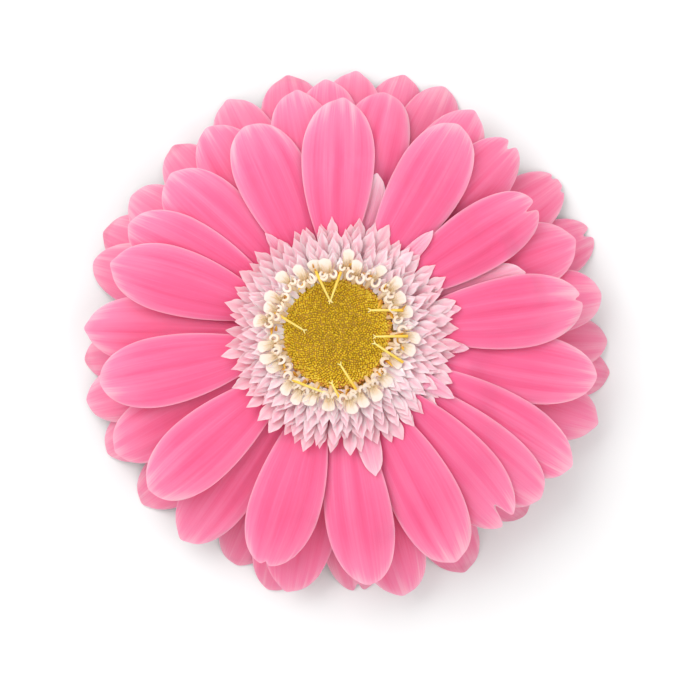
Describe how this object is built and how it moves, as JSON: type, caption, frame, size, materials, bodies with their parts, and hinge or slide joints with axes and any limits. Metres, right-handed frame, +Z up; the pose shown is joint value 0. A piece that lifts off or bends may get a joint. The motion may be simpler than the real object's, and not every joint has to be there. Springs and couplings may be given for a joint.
{
  "type": "cut gerbera",
  "caption": "Pink gerbera bloom cut short below the head, lying face up: drooping layers of long ray florets round a pale ring of short florets and an olive centre.",
  "frame": {"origin": "centre of the bounding box at the surface that the bloom lies on", "axes": "+Z up through the centre of the bloom, out of its face; +X and +Y across the face, to the right and to the top as the bloom is looked at from above"},
  "size_m": [0.1009, 0.0999, 0.024],
  "materials": {
    "ray_pink": "satin petal, pink, finely veined",
    "trans_pink": "satin petal, pale pink",
    "disc_white": "matt, cream white",
    "disc_olive": "matt, olive yellow",
    "bract_green": "matt, finely hairy green",
    "scape_green": "satin, pale green"
  },
  "bodies": {
    "root": {"disc_buds": "disc_olive", "involucre_inner_bracts": "bract_green", "involucre_outer_bracts": "bract_green", "open_disc_florets": "disc_white", "ray_floret_inner_01": "ray_pink", "ray_floret_inner_02": "ray_pink", "ray_floret_inner_03": "ray_pink", "ray_floret_inner_04": "ray_pink", "ray_floret_inner_05": "ray_pink", "ray_floret_inner_06": "ray_pink", "ray_floret_inner_07": "ray_pink", "ray_floret_inner_08": "ray_pink", "ray_floret_inner_09": "ray_pink", "ray_floret_inner_10": "ray_pink", "ray_floret_inner_11": "ray_pink", "ray_floret_inner_12": "ray_pink", "ray_floret_inner_13": "ray_pink", "ray_floret_inner_14": "ray_pink", "ray_floret_inner_15": "ray_pink", "ray_floret_inner_16": "ray_pink", "ray_floret_inner_17": "ray_pink", "ray_floret_middle_01": "ray_pink", "ray_floret_middle_02": "ray_pink", "ray_floret_middle_03": "ray_pink", "ray_floret_middle_04": "ray_pink", "ray_floret_middle_05": "ray_pink", "ray_floret_middle_06": "ray_pink", "ray_floret_middle_07": "ray_pink", "ray_floret_middle_08": "ray_pink", "ray_floret_middle_09": "ray_pink", "ray_floret_middle_10": "ray_pink", "ray_floret_middle_11": "ray_pink", "ray_floret_middle_12": "ray_pink", "ray_floret_middle_13": "ray_pink", "ray_floret_middle_14": "ray_pink", "ray_floret_outer_01": "ray_pink", "ray_floret_outer_02": "ray_pink", "ray_floret_outer_03": "ray_pink", "ray_floret_outer_04": "ray_pink", "ray_floret_outer_05": "ray_pink", "ray_floret_outer_06": "ray_pink", "ray_floret_outer_07": "ray_pink", "ray_floret_outer_08": "ray_pink", "ray_floret_outer_09": "ray_pink", "ray_floret_outer_10": "ray_pink", "ray_floret_outer_11": "ray_pink", "ray_floret_outer_12": "ray_pink", "ray_floret_outer_13": "ray_pink", "ray_floret_outer_14": "ray_pink", "ray_floret_outer_15": "ray_pink", "ray_floret_outer_16": "ray_pink", "ray_floret_outer_17": "ray_pink", "ray_floret_outer_18": "ray_pink", "ray_floret_outer_19": "ray_pink", "ray_floret_outer_20": "ray_pink", "ray_floret_outer_21": "ray_pink", "ray_floret_outer_22": "ray_pink", "scape_and_receptacle": "scape_green", "trans_florets": "trans_pink"}
  },
  "joints": []
}
